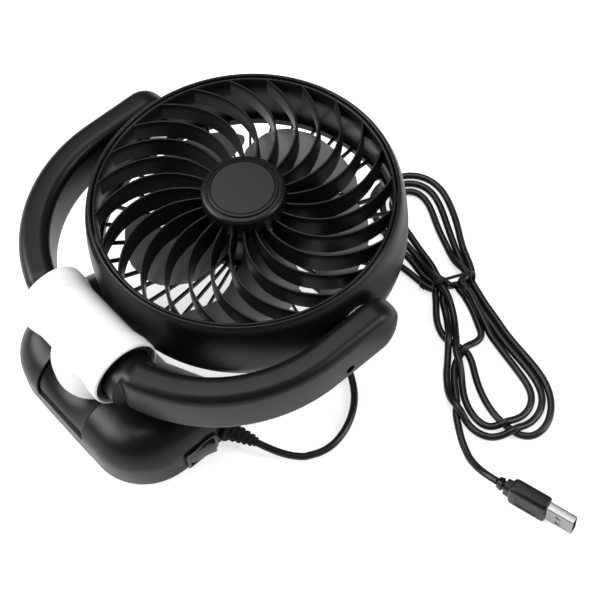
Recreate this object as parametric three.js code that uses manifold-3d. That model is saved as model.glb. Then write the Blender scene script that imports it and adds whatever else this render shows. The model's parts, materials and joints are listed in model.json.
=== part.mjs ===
// Small USB fan on a clamp base: a round head in a U-shaped yoke, carried by a white tee.
// Millimetres, +Z up. The origin is on the desk, under the middle of the fan without its cord.
// The head lies face up; the yoke lies level; the base stands at the -Y end.
import * as THREE from "three";
import { mergeVertices } from "three/addons/utils/BufferGeometryUtils.js";
import Module from "manifold-3d";

const wasm = await Module();
wasm.setup();
const { PI, sin, cos, sqrt, min, max } = Math;

// ---------- driving dimensions ----------
const GAP = 0.3;                  // air left between two pieces that touch

const HEAD_Y = 24.1;              // middle of the head, and of its tilt axis
const HEAD_Z = 56.7;
const HEAD_R = 79;                // fattest radius of the housing
const RIM_R = 75.6;               // outer radius at the front rim
const RIM_Z = 21.6;               // front rim above the tilt axis
const BACK_Z = -18;               // back edge below the tilt axis
const BACK_IN = 76;               // inside of the back opening
const PIVOT_FLAT = 78.4;          // flats beside the two arms
const GRILLE_R = 73.5;            // outside of the grille ring
const HUB_R = 20.6;
const HUB_TOP = 27;
const DISC_R = 15.4;
const VANES = 24;
const VANE_SWEEP = 36 * PI / 180; // how far a vane's foot on the ring leads its root on the hub
const VANE_CURVE = 1.8;           // how late in its length a vane takes its sweep
const BACK_BARS = 40;
const BLADES = 5;
const BLADE_R = 61;
const BLADE_BEND_R = 43;          // where the leading edge of a blade is furthest round

const YOKE_IN = 79.6;             // inside faces of the arms, from the middle
const YOKE_T = 15.3;              // thickness of the arm, across
const YOKE_H = 28;                // height of the arm
const YOKE_BEND_R = 75;           // radius of the arms' middle line where they bend to the bar
const YOKE_EDGE_R = 5.4;
const ARM_WALL = 2.8;
const ARM_ROOT = 35.5;            // where each arm meets the round bar
const ARM_END = 2.7;              // middle of the arm's round end, past the tilt axis
const PIVOT_R = 4;

const TEE_Y = -73.4;              // axis of the tee's sleeve, and of the swivel
const TEE_RIGHT = 28.3;           // ends of the sleeve, from the swivel axis
const TEE_LEFT = 31.7;
const TEE_R = 16.5;
const FLANGE_R = 18.1;
const MOUTH_R = 16.3;
const BAR_R = 13;                 // round bar of the yoke inside the sleeve
const TEE_BACK = 16.2;            // flat back of the branch, clear of the head when it tilts
const BRANCH_R = 21.5;
const BRANCH_Z = 32.9;            // lower edge of the branch, above the desk

const BASE_X = 59.4;              // right end
const CLAMP_X = 52;               // left end, with the clamp closed
const SEAM_X = 18;                // seams between the middle and the end blocks
const FRONT_Y = -101.5;
const BACK_MID_Y = -44.3;         // back of the base in the middle, clear of the head's tilt
const BACK_END_Y = -33.5;         // back of the base at its ends
const SHOE_Z = 1.2;               // underside, on rubber pads
const STRIP_Z = 12.6;             // top of the strip under the middle cover
const SPRING_Z = 13.5;            // where the upright walls turn into the domed top
const DOME_Z = 32.4;
const SADDLE_Z = 26.2;
const CORNER_R = 28.8;
const END_DOME_R = 18;
const REAR_CORNER_R = 5;

const SWITCH_Y = -61;
const SWITCH_Z = 7.9;
const ROCKER_R = 7.4;
const ROCKER_X = BASE_X + 0.6;

const GLAND_Y = -44.3;
const GLAND_Z = 7.4;
const GLAND_YAW = 22 * PI / 180;
const GLAND_LEN = 15.8;

const CORD_D = 3.7;
const FLOOR_LINE = CORD_D / 2 + 0.15;  // height of the cord's middle where it lies on the desk

// ---------- finishes ----------
const finish = (color, roughness, metalness = 0) =>
  new THREE.MeshStandardMaterial({ color, roughness, metalness });
const blackSatin = finish(0x1b1b1c, 0.4);
const blackMatte = finish(0x3a3a3b, 0.7);
const blackGloss = finish(0x121212, 0.25);
const white = finish(0xf4f3f1, 0.25);
const bladeGrey = finish(0x86888a, 0.4);
const steel = finish(0xb9bbbd, 0.3, 1);
const rubber = finish(0x161616, 0.9);
const nylon = finish(0xd8d5cc, 0.6);
const board = finish(0x1f5a36, 0.5);
const cordBlack = finish(0x18181a, 0.45);

// ---------- shape helpers ----------
function tidy(geometry) {
  const bare = geometry.index ? geometry.clone() : geometry;
  bare.deleteAttribute("normal");
  bare.deleteAttribute("uv");
  const merged = mergeVertices(bare, 1e-4);
  const index = [];
  for (let i = 0; i < merged.index.count; i += 3) {
    const [a, b, c] = [0, 1, 2].map((k) => merged.index.getX(i + k));
    if (a !== b && b !== c && c !== a) index.push(a, b, c);
  }
  merged.setIndex(index);
  return outward(merged);
}

function outward(geometry) {
  const [a, b, c] = [new THREE.Vector3(), new THREE.Vector3(), new THREE.Vector3()];
  const at = geometry.attributes.position;
  const index = Array.from(geometry.index.array);
  let volume = 0;
  for (let i = 0; i < index.length; i += 3) {
    a.fromBufferAttribute(at, index[i]);
    b.fromBufferAttribute(at, index[i + 1]);
    c.fromBufferAttribute(at, index[i + 2]);
    volume += a.dot(b.cross(c));
  }
  if (volume < 0) index.reverse();
  geometry.setIndex(index);
  return geometry;
}

function solid(geometry) {
  const clean = tidy(geometry);
  return new wasm.Manifold(new wasm.Mesh({
    numProp: 3,
    vertProperties: new Float32Array(clean.attributes.position.array),
    triVerts: new Uint32Array(clean.index.array),
  }));
}

function toGeometry(manifold) {
  const mesh = manifold.getMesh();
  const geometry = new THREE.BufferGeometry();
  geometry.setAttribute("position", new THREE.BufferAttribute(new Float32Array(mesh.vertProperties), 3));
  geometry.setIndex(Array.from(mesh.triVerts));
  return geometry;
}

const join = (...pieces) => toGeometry(pieces.map(solid).reduce((sum, piece) => sum.add(piece)));

function cut(body, ...tools) {
  return toGeometry(tools.map(solid).reduce((rest, tool) => rest.subtract(tool), solid(body)));
}

// A turned shape about +Z from [radius, height] pairs. A ring's profile closes on itself.
function turned(profile, segments = 48, ring = false) {
  const points = profile.map(([r, z]) => new THREE.Vector2(r, z));
  if (ring) points.push(points[0].clone());
  return new THREE.LatheGeometry(points, segments).rotateX(PI / 2);
}

function rod(radius, z0, z1, segments = 24) {
  return turned([[0, z0], [radius, z0], [radius, z1], [0, z1]], segments);
}

const alongX = (geometry) => geometry.rotateY(PI / 2);

function block(x0, x1, y0, y1, z0, z1) {
  const box = new THREE.BoxGeometry(x1 - x0, y1 - y0, z1 - z0);
  return box.translate((x0 + x1) / 2, (y0 + y1) / 2, (z0 + z1) / 2);
}

// A skin over a row of closed outlines with the same number of points, capped flat at both ends.
function loft(outlines) {
  const count = outlines[0].length;
  const position = outlines.flat().flatMap((p) => [p.x, p.y, p.z]);
  const index = [];
  for (let i = 0; i + 1 < outlines.length; i += 1) {
    for (let j = 0; j < count; j += 1) {
      const a = i * count + j;
      const b = i * count + (j + 1) % count;
      index.push(a, b, b + count, a, b + count, a + count);
    }
  }
  for (const end of [0, outlines.length - 1]) {
    const middle = new THREE.Vector3();
    outlines[end].forEach((p) => middle.addScaledVector(p, 1 / count));
    const hub = position.length / 3;
    position.push(middle.x, middle.y, middle.z);
    for (let j = 0; j < count; j += 1) {
      const a = end * count + j;
      const b = end * count + (j + 1) % count;
      index.push(...(end === 0 ? [hub, b, a] : [hub, a, b]));
    }
  }
  const geometry = new THREE.BufferGeometry();
  geometry.setAttribute("position", new THREE.BufferAttribute(new Float32Array(position), 3));
  geometry.setIndex(index);
  return geometry;
}

// Corner points of a rounded rectangle about the origin, as [across, up] pairs.
function roundedRect(width, height, radius, steps = 4) {
  const r = min(radius, width / 2 - 0.01, height / 2 - 0.01);
  const points = [];
  for (let corner = 0; corner < 4; corner += 1) {
    const sx = corner === 0 || corner === 3 ? 1 : -1;
    const sy = corner < 2 ? 1 : -1;
    for (let k = 0; k <= steps; k += 1) {
      const angle = (corner + k / steps) * PI / 2;
      points.push([sx * (width / 2 - r) + r * cos(angle), sy * (height / 2 - r) + r * sin(angle)]);
    }
  }
  return points;
}

function slab(outline, z0, z1) {
  const shape = new THREE.Shape(outline.map(([x, y]) => new THREE.Vector2(x, y)));
  const options = { depth: z1 - z0, bevelEnabled: false };
  return new THREE.ExtrudeGeometry(shape, options).translate(0, 0, z0);
}

function tube(points, diameter, sides, steps) {
  const ring = [];
  for (let k = 0; k < sides; k += 1) {
    const angle = (k + 0.5) * 2 * PI / sides;
    ring.push(new THREE.Vector2(diameter / 2 * cos(angle), diameter / 2 * sin(angle)));
  }
  const path = new THREE.CatmullRomCurve3(points.map((p) => new THREE.Vector3(...p)), false, "centripetal");
  const options = { steps, extrudePath: path, bevelEnabled: false };
  return new THREE.ExtrudeGeometry(new THREE.Shape(ring), options);
}

function screw(headR, headH, shankR, length) {
  return turned([
    [0, 0.5], [headR * 0.5, 0], [headR * 0.9, 0], [headR, headH], [shankR, headH],
    [shankR, length], [0, length],
  ], 8);
}

// ---------- assembly ----------
const model = new THREE.Group();
const base = new THREE.Group();
const tee = new THREE.Group();
const yoke = new THREE.Group();
const head = new THREE.Group();
tee.position.set(0, TEE_Y, HEAD_Z);
yoke.position.set(0, HEAD_Y, HEAD_Z);
head.position.set(0, HEAD_Y, HEAD_Z);
model.add(base, tee, yoke, head);

function piece(group, name, geometry, material) {
  const mesh = new THREE.Mesh(tidy(geometry), material);
  mesh.name = name;
  group.add(mesh);
  return mesh;
}

// ---------- head: housing and grilles ----------
function housing() {
  const drum = turned([
    [RIM_R - 1.8, RIM_Z], [RIM_R - 0.6, RIM_Z - 0.2], [RIM_R + 0.8, RIM_Z - 1.8], [77.6, 16], [78.4, 9],
    [HEAD_R - 0.1, 1], [HEAD_R, -3], [HEAD_R, -6], [HEAD_R - 0.4, -10], [HEAD_R - 0.9, -12.6],
    [HEAD_R - 1.5, -15], [HEAD_R - 2.4, -17.2], [BACK_IN + 0.4, BACK_Z], [BACK_IN, BACK_Z],
    [BACK_IN, -9.6], [75, -2], [73.8, 9], [73.8, RIM_Z - 0.4],
  ], 56, true);
  const sides = block(-PIVOT_FLAT, PIVOT_FLAT, -90, 90, -30, 30);
  const boss = (side) => alongX(rod(10, 72.6, PIVOT_FLAT, 28)).scale(side, 1, 1);
  const bore = alongX(rod(PIVOT_R + GAP, -90, 90, 24));
  return cut(join(toGeometry(solid(drum).intersect(solid(sides))), boss(1), boss(-1)), bore);
}

function vane(turn) {
  const outlines = [];
  for (let k = 0; k <= 6; k += 1) {
    const s = k / 6;
    const radius = HUB_R - 1.6 + s * (GRILLE_R - 0.9 - HUB_R + 1.6);
    const angle = turn + VANE_SWEEP * s ** VANE_CURVE;
    const turning = VANE_SWEEP * VANE_CURVE * s ** (VANE_CURVE - 1) / (GRILLE_R - HUB_R);
    const lean = Math.atan(radius * turning);
    const top = 20 + 0.9 * s;
    const foot = 6.5 + 4.1 * s * s;
    const across = new THREE.Vector3(-sin(angle + lean), cos(angle + lean), 0);
    const mid = new THREE.Vector3(radius * cos(angle), radius * sin(angle), 0);
    const at = (side, z) => mid.clone().addScaledVector(across, side).setZ(z);
    outlines.push([at(0.85, foot), at(0.65, top), at(-0.65, top), at(-0.85, foot)]);
  }
  return loft(outlines);
}

function frontGrille() {
  const ring = turned([
    [71.2, 10.6], [GRILLE_R, 10.6], [GRILLE_R, 20.4], [GRILLE_R - 0.5, 20.9],
    [71.8, 20.9], [71.2, 20.2],
  ], 48, true);
  const hub = turned([
    [0, 13.4], [HUB_R - 1.4, 13.4], [HUB_R - 0.2, 14.4], [HUB_R, 23.2], [HUB_R - 0.9, 25.8],
    [HUB_R - 2.4, HUB_TOP], [DISC_R + 0.4, HUB_TOP], [DISC_R + 0.4, 25], [0, 25],
  ], 28);
  const vanes = [];
  for (let k = 0; k < VANES; k += 1) vanes.push(vane((k + 0.33) * 2 * PI / VANES));
  return join(ring, hub, ...vanes);
}

function rearGrille() {
  const z0 = -16.6;
  const z1 = -13.6;
  const rim = turned([[73.6, z0], [BACK_IN - 0.4, z0], [BACK_IN - 0.4, z1 + 1], [73.6, z1 + 1]], 40, true);
  const cup = turned([[0, -17], [20, -17], [20, -11.2], [18.4, -11.2], [18.4, -14.6], [0, -14.6]], 20);
  const bars = [];
  for (let k = 0; k < BACK_BARS; k += 1) {
    bars.push(block(18.8, 74.4, -0.6, 0.6, z0, z1).rotateZ((k + 0.5) * 2 * PI / BACK_BARS));
  }
  const holes = [0, 1, 2].map((k) => rod(1.7, -20, -12, 8).translate(10, 0, 0).rotateZ(k * 2 * PI / 3));
  return cut(join(rim, cup, ...bars), ...holes, rod(3.4, -20, -12, 12));
}

// A wide, curved blade. Its leading edge is turned to that angle and stands higher than its trailing edge.
function bladeShape(turn) {
  const outlines = [];
  for (let k = 0; k <= 6; k += 1) {
    const radius = 16 + k / 6 * (BLADE_R - 16);
    const beyond = radius - BLADE_BEND_R;
    const lead = turn - beyond * (beyond > 0 ? 1.05 : 0.45) * PI / 180;
    const half = (k === 6 ? 23 : 29) * PI / 180;
    const outline = [];
    for (const [side, order] of [[1, [-1, -0.35, 0.35, 1]], [-1, [1, 0.35, -0.35, -1]]]) {
      for (const t of order) {
        const angle = lead - 29 * PI / 180 + t * half;
        const z = -4.4 + 5.2 * t + 1.6 * (1 - t * t) + side * 0.7;
        outline.push(new THREE.Vector3(radius * cos(angle), radius * sin(angle), z));
      }
    }
    outlines.push(outline);
  }
  return loft(outlines);
}

function impeller() {
  const cap = turned([
    [0, 4.2], [15.4, 4.2], [15.4, -10.6], [17.6, -10.6], [17.8, 6.6], [16.6, 8.8], [13, 9.8], [0, 10],
  ], 24);
  const blades = [];
  for (let k = 0; k < BLADES; k += 1) blades.push(bladeShape((284.5 / 360 + k / BLADES) * 2 * PI));
  return cut(join(cap, ...blades), rod(1.3, -10, 20, 12));
}

piece(head, "fan_housing", housing(), blackSatin);
piece(head, "front_grille", frontGrille(), blackSatin);
piece(head, "hub_disc", turned([[0, 25.3], [DISC_R, 25.3], [DISC_R, 26.7], [DISC_R - 0.4, 27.1],
  [0, 27.1]], 36), blackMatte);
piece(head, "rear_grille", rearGrille(), blackSatin);
piece(head, "motor_can", turned([[0, -14.2], [14, -14.2], [14.8, -13.4], [14.8, 2.4], [13.6, 3.4],
  [3, 3.4], [3, -8], [0, -8]], 24), steel);
piece(head, "motor_shaft", rod(1, -7.7, 12, 12), steel);
piece(head, "impeller", impeller(), bladeGrey);
piece(head, "impeller_clip", turned([[1.3, 10.3], [4, 10.3], [4, 11.2], [2.6, 11.8], [1.3, 11.8]], 14, true),
  nylon);
for (let k = 0; k < 3; k += 1) {
  const bolt = screw(2.7, 1.6, 1.3, 3.9).translate(10, 0, -18.9);
  piece(head, `motor_screw_${k + 1}`, bolt.rotateZ(k * 2 * PI / 3), steel);
}
for (const [side, name] of [[1, "right"], [-1, "left"]]) {
  const washer = alongX(turned([[5, 78.7], [9.4, 78.7], [9.4, 79.3], [5, 79.3]], 20, true));
  piece(head, `pivot_washer_${name}`, washer.scale(side, 1, 1), nylon);
  const pin = alongX(turned([[0, 70.4], [6, 70.4], [6.4, 71], [6.4, 72.4], [PIVOT_R, 72.4],
    [PIVOT_R, 90], [PIVOT_R - 0.6, 90.6], [0, 90.6]], 20));
  piece(head, `pivot_pin_${name}`, pin.scale(side, 1, 1), steel);
}

// ---------- yoke ----------
const ARM_X = YOKE_IN + YOKE_T / 2;
const BAR_Y = TEE_Y - HEAD_Y;

function yokeOutline(x, y, heading, width, height, radius) {
  const across = new THREE.Vector3(cos(heading), sin(heading), 0);
  return roundedRect(width, height, radius, 3).map(([u, v]) =>
    new THREE.Vector3(x, y, v).addScaledVector(across, u));
}

// Outlines along the bend of an arm, from its straight part to that share of the bend.
function armBend(share, steps, wall) {
  const middleX = ARM_X - YOKE_BEND_R;
  const middleY = BAR_Y + sqrt(YOKE_BEND_R ** 2 - (ARM_ROOT - middleX) ** 2);
  const sweep = share * Math.acos((ARM_ROOT - middleX) / YOKE_BEND_R);
  const outlines = [];
  for (let k = 0; k <= steps; k += 1) {
    const angle = k / steps * sweep;
    const x = middleX + YOKE_BEND_R * cos(angle);
    const y = middleY - YOKE_BEND_R * sin(angle);
    outlines.push(yokeOutline(x, y, -angle, YOKE_T - 2 * wall, YOKE_H - 2 * wall, YOKE_EDGE_R - wall));
  }
  return outlines;
}

// The arm's free end is round from the side, and its outer corner is round from above.
function yokeArm() {
  const outlines = [];
  for (let k = 0; k <= 5; k += 1) {
    const angle = (86 - 86 * k / 5) * PI / 180;
    const inset = 3 * (1 - cos(angle));
    const y = ARM_END + YOKE_H / 2 * sin(angle);
    outlines.push(yokeOutline(ARM_X - inset, y, 0, YOKE_T - 2 * inset, YOKE_H * cos(angle), YOKE_EDGE_R));
  }
  const neck = yokeOutline(ARM_ROOT - 3.2, BAR_Y, -PI / 2, 2 * BAR_R, 2 * BAR_R, BAR_R);
  return loft([...outlines, ...armBend(1, 9, 0), neck]);
}

// The way for the wires inside an arm; it is open to the bored bar at its inner end.
function armChannel() {
  const [width, height] = [YOKE_T - 2 * ARM_WALL, YOKE_H - 2 * ARM_WALL];
  const start = yokeOutline(ARM_X, -24, 0, width, height, YOKE_EDGE_R - ARM_WALL);
  return loft([start, ...armBend(0.94, 6, ARM_WALL)]);
}

function yokeBar() {
  const both = (make) => [make(), make().scale(-1, 1, 1)];
  const bar = alongX(rod(BAR_R, 1 - ARM_ROOT, ARM_ROOT - 1, 24)).translate(0, BAR_Y, 0);
  const wireBore = alongX(rod(4.5, -41, 41, 12)).translate(0, BAR_Y, 0);
  const wireExit = rod(3.5, -20, 0, 12).translate(0, BAR_Y, 0);
  const pivot = () => alongX(rod(PIVOT_R + GAP, YOKE_IN - 1, 91.2, 20));
  const screwHole = () => alongX(rod(2.4, 88, 96, 12)).translate(0, -18, -5);
  return cut(
    join(...both(yokeArm), bar),
    ...both(armChannel), wireBore, wireExit, ...both(pivot), ...both(screwHole),
  );
}

piece(yoke, "yoke", yokeBar(), blackSatin);
for (const [side, name] of [[1, "right"], [-1, "left"]]) {
  const bolt = screw(2, 1.4, 1.1, 1.9).rotateY(-PI / 2).translate(90.4, -18, -5);
  piece(yoke, `yoke_screw_${name}`, bolt.scale(side, 1, 1), steel);
}

// ---------- tee ----------
// The profile of one end of the sleeve, from its open end inwards.
const teeEnd = (end) => [
  [0, end], [MOUTH_R + 0.7, end], [FLANGE_R - 0.4, end - 0.5], [FLANGE_R, end - 1.6], [FLANGE_R, end - 7],
  [FLANGE_R - 0.6, end - 9], [TEE_R + 0.3, end - 11.6], [TEE_R, end - 13.4],
];

function teeBody() {
  const left = teeEnd(TEE_LEFT).map(([r, x]) => [r, -x]);
  const sleeve = alongX(turned([...left, ...teeEnd(TEE_RIGHT).reverse()], 28));
  const drop = BRANCH_Z - HEAD_Z;
  const branch = turned([
    [0, drop], [BRANCH_R - 0.6, drop], [BRANCH_R, drop + 0.7], [BRANCH_R, -14.6], [BRANCH_R - 0.9, -11],
    [BRANCH_R - 2.7, -7.6], [BRANCH_R - 5.2, -4.8], [0, -4],
  ], 32);
  const bore = alongX(rod(BAR_R + GAP, -40, 40, 24));
  const mouths = [[TEE_RIGHT - 6.5, 40], [-40, 6.5 - TEE_LEFT]].map(([x0, x1]) =>
    alongX(rod(MOUTH_R, x0, x1, 28)));
  const socket = rod(14.4, drop - 1, -15.6, 24);
  const groove = rod(15.3, -21.6, -18.6, 24);
  const inFront = block(-40, 40, -40, TEE_BACK, -40, 0);
  const foot = toGeometry(solid(branch).intersect(solid(inFront)));
  return cut(join(sleeve, foot), bore, ...mouths, socket, groove);
}

piece(tee, "tee_sleeve", teeBody(), white);
for (const [side, name] of [[1, "right"], [-1, "left"]]) {
  const outer = side > 0 ? TEE_RIGHT - 1.2 : TEE_LEFT - 1.2;
  const bush = alongX(turned([[BAR_R + 0.4, outer - 5], [MOUTH_R - 0.3, outer - 5], [MOUTH_R - 0.3, outer],
    [BAR_R + 0.4, outer]], 24, true));
  piece(tee, `tee_bush_${name}`, bush.scale(side, 1, 1), rubber);
}

// ---------- base ----------
// Outline of the base across X: upright walls, then quarter ovals up to the top.
function baseOutline(x, front, back, top, foot) {
  const reach = min(19, (back - front) * 0.46);
  const rise = max(top - SPRING_Z, 0.4);
  const bevel = min(1, (SPRING_Z - foot) * 0.7);
  const points = [[front + bevel, foot], [front, foot + bevel]];
  for (let k = 0; k <= 5; k += 1) {
    const angle = k / 5 * PI / 2;
    points.push([front + reach * (1 - cos(angle)), SPRING_Z + rise * sin(angle)]);
  }
  for (let k = 5; k >= 0; k -= 1) {
    const angle = k / 5 * PI / 2;
    points.push([back - reach * (1 - cos(angle)), SPRING_Z + rise * sin(angle)]);
  }
  points.push([back, foot + bevel], [back - bevel, foot]);
  return points.map(([y, z]) => new THREE.Vector3(x, y, z));
}

function endBlock(end) {
  const stations = [SEAM_X + GAP, (SEAM_X + end - CORNER_R) / 2];
  for (let k = 0; k <= 6; k += 1) stations.push(end - CORNER_R + CORNER_R * sin(k / 6 * PI / 2));
  return loft(stations.map((x) => {
    const c = min(max((x - end + CORNER_R) / CORNER_R, 0), 1);
    const d = min(max((x - end + END_DOME_R) / END_DOME_R, 0), 1);
    const e = min(max((x - end + REAR_CORNER_R) / REAR_CORNER_R, 0), 1);
    const slope = min(max((x - SEAM_X) / 24, 0), 1);
    const front = FRONT_Y + CORNER_R * (1 - sqrt(1 - c * c));
    const back = BACK_MID_Y + slope * (BACK_END_Y - BACK_MID_Y) - REAR_CORNER_R * (1 - sqrt(1 - e * e));
    const top = DOME_Z - END_DOME_R * 0.88 * (1 - sqrt(1 - d * d));
    return baseOutline(x, front, back, top, SHOE_Z);
  }));
}

const COVER = { x0: 21.5, x1: 49.6, y0: -92, y1: -44 };
const RAIL = { x0: -44, x1: -7, y0: -86, y1: -62, z0: 3.6, z1: 9.2 };
const pads = {
  base_pad_front: [12, -95], base_pad_back: [12, -51],
  clamp_pad_front: [-33, -89], clamp_pad_back: [-40, -42],
};

function padAt([x, y], z1, grow) {
  return rod(5.4 + grow, 0, z1, 12).translate(x, y, 0);
}

function baseBody() {
  const strip = block(-SEAM_X, SEAM_X + 2, FRONT_Y, BACK_MID_Y, SHOE_Z, STRIP_Z);
  const { x0, x1, y0, y1 } = COVER;
  return cut(
    join(endBlock(BASE_X), strip),
    block(x0, x1, y0, y1, 0, 4.2),
    block(x0 + 5.5, x1 - 5.5, y0 + 5.5, y1 - 5.5, 3, 22),
    block(x1 - 7, x1, SWITCH_Y - 8.1, SWITCH_Y + 8.1, 4, 13),
    block(46, 62, SWITCH_Y - 8.1, SWITCH_Y + 8.1, SWITCH_Z - 5.1, SWITCH_Z + 5.1),
    block(RAIL.x0 - 9, RAIL.x1 + GAP, RAIL.y0 - GAP, RAIL.y1 + GAP, RAIL.z0 - GAP, RAIL.z1 + GAP),
    rod(2.9, 0, 20, 16).translate(0, TEE_Y, 0),
    rod(5.4, 0, 3.2, 20).translate(0, TEE_Y, 0),
    padAt(pads.base_pad_front, 2.2, 0.3),
    padAt(pads.base_pad_back, 2.2, 0.3),
    ...coverScrewSpots().map(([x, y]) => rod(1.5, 0, 12, 8).translate(x, y, 0)),
  );
}

function coverScrewSpots() {
  const { x0, x1, y0, y1 } = COVER;
  return [[x0 + 2.9, y0 + 2.9], [x0 + 2.9, y1 - 2.9], [x1 - 2.9, y0 + 2.9], [x1 - 2.9, y1 - 2.9]];
}

function clampBlock() {
  return cut(
    endBlock(CLAMP_X).scale(-1, 1, 1),
    block(RAIL.x0 - GAP, -10, RAIL.y0 - GAP, RAIL.y1 + GAP, RAIL.z0 - GAP, RAIL.z1 + GAP),
    block(-44, -24, -84, -64, 8, 22),
    padAt(pads.clamp_pad_front, 2.2, 0.3),
    padAt(pads.clamp_pad_back, 2.2, 0.3),
  );
}

function middleCover() {
  const outlines = [];
  for (let k = 0; k <= 8; k += 1) {
    const t = k / 4 - 1;
    const top = SADDLE_Z + (DOME_Z - 0.6 - SADDLE_Z) * t * t;
    outlines.push(baseOutline(t * (SEAM_X - 0.1), FRONT_Y + 1.6, BACK_MID_Y - 0.6, top, STRIP_Z + GAP));
  }
  return cut(
    loft(outlines),
    rod(14.4, 0, 60, 24).translate(0, TEE_Y, 0),
    rod(16.6, 0, 16.6, 24).translate(0, TEE_Y, 0),
  );
}

function rocker() {
  const outline = [];
  for (let k = 0; k <= 8; k += 1) {
    const angle = (62 + k * 9.5) * PI / 180;
    outline.push([ROCKER_R * cos(angle), ROCKER_R * sin(angle)]);
  }
  for (let k = 0; k <= 6; k += 1) {
    const angle = (-138 + k * 8.6) * PI / 180;
    outline.push([ROCKER_R * cos(angle), ROCKER_R * sin(angle)]);
  }
  outline.push([1.5, 0.2]);
  return slab(outline, -4.5, 4.5).translate(ROCKER_X, SWITCH_Y, SWITCH_Z);
}

function switchBody() {
  const front = BASE_X + 1.6;
  return cut(
    join(
      block(51, BASE_X + 0.5, SWITCH_Y - 7.8, SWITCH_Y + 7.8, SWITCH_Z - 4.8, SWITCH_Z + 4.8),
      block(BASE_X + GAP, front, SWITCH_Y - 9.5, SWITCH_Y + 9.5, SWITCH_Z - 6.3, SWITCH_Z + 6.3),
    ),
    block(53.2, front + 1, SWITCH_Y - 7.65, SWITCH_Y + 7.65, SWITCH_Z - 4.7, SWITCH_Z + 4.7),
  );
}

function gland() {
  const collar = alongX(turned([[0, 0], [5.4, 0], [5.8, 0.5], [5.8, 2.2], [4.8, 2.8], [0, 2.8]], 16));
  const profile = [[0, 1.9], [4, 1.9]];
  for (let k = 0; k < 4; k += 1) {
    const z = 3.2 + k * 3;
    const r = 4.6 - k * 0.5;
    profile.push([r, z], [r, z + 1.7], [r - 1, z + 1.8], [r - 1, z + 2.8]);
  }
  profile.push([2.5, GLAND_LEN], [0, GLAND_LEN]);
  const sleeve = alongX(turned(profile, 10)).rotateZ(GLAND_YAW);
  return join(collar, sleeve).translate(BASE_X + GAP, GLAND_Y, GLAND_Z);
}

piece(base, "base_body", baseBody(), blackSatin);
piece(base, "middle_cover", middleCover(), blackSatin);
piece(base, "clamp_block", clampBlock(), blackSatin);
piece(base, "slide_rail", block(RAIL.x0, RAIL.x1, RAIL.y0, RAIL.y1, RAIL.z0, RAIL.z1), steel);
piece(base, "swivel_post", cut(turned([
  [0, STRIP_Z + 0.6], [16.2, STRIP_Z + 0.6], [16.2, 16.2], [14, 16.2], [14, 34.8], [12.6, 35.2],
  [12.6, 38], [14, 38.4], [14, 39.6], [13, 40.6], [0, 40.6],
], 20), rod(2.9, 0, 34, 16)).translate(0, TEE_Y, 0), blackSatin);
piece(base, "swivel_ring", turned([[12.9, 35.5], [15, 35.5], [15, 37.7], [12.9, 37.7]], 20, true)
  .translate(0, TEE_Y, 0), steel);
piece(base, "swivel_bolt", turned([[0, 1.6], [2.4, 1.6], [2.4, 0.3], [4.6, 0.3], [5, 0.8], [5, 2.9],
  [2.5, 2.9], [2.5, 30], [0, 30]], 10).translate(0, TEE_Y, 0), steel);
piece(base, "switch_body", switchBody(), blackGloss);
piece(base, "rocker", rocker(), blackGloss);
piece(base, "circuit_board", block(28, 43, -84, -54, 15.6, 17.2), board);
piece(base, "bottom_cover", cut(
  block(COVER.x0 + GAP, COVER.x1 - GAP, COVER.y0 + GAP, COVER.y1 - GAP, 1.6, 3.8),
  ...coverScrewSpots().map(([x, y]) => rod(1.6, 0, 9, 8).translate(x, y, 0)),
  ...coverScrewSpots().map(([x, y]) => rod(2.7, 0, 2.9, 8).translate(x, y, 0)),
), blackSatin);
coverScrewSpots().forEach(([x, y], k) => {
  piece(base, `cover_screw_${k + 1}`, screw(2.3, 1.3, 1.1, 9).translate(x, y, 1.2), steel);
});
for (const [name, spot] of Object.entries(pads)) piece(base, name, padAt(spot, 1.9, 0), rubber);
piece(base, "cord_gland", gland(), rubber);

// ---------- cord ----------
// The lead leaves the gland, curls out to the side, runs under the head and joins the tied coil.
const leadRoute = [
  [74.9, -38.4, 7.4], [79.5, -36.4, 6.7], [85, -33, 4.6], [90, -28.9, 2.7], [95, -23.4, FLOOR_LINE],
  [98.6, -15, FLOOR_LINE], [97.6, -3.5, FLOOR_LINE], [92.6, 7.6, FLOOR_LINE], [86, 15.4, FLOOR_LINE],
  [77.5, 21.2, FLOOR_LINE], [66, 26.4, FLOOR_LINE], [53, 32.5, FLOOR_LINE], [41.5, 42, FLOOR_LINE],
  [33, 53.5, FLOOR_LINE], [28.2, 65, FLOOR_LINE], [28.6, 75, FLOOR_LINE], [33.4, 81.6, FLOOR_LINE],
  [40.2, 84, FLOOR_LINE],
];
const tailRoute = [
  [133.5, 40.7, FLOOR_LINE], [140.7, 36, FLOOR_LINE], [148.3, 32.9, 2.6], [155.4, 31.4, 4.4],
  [162, 31, 6.8], [168, 31.7, 7.95],
];
const TIE = { x: 72.5, y: 96.5, turn: -25.1 * PI / 180, half: 11.3, top: 10.2 };
const COIL_TOP = 9.4;

// A point beside the tie: along the bundle, and across it.
function byTie(along, across) {
  const { x, y, turn } = TIE;
  return [x + along * cos(turn) - across * sin(turn), y + along * sin(turn) + across * cos(turn)];
}

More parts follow.
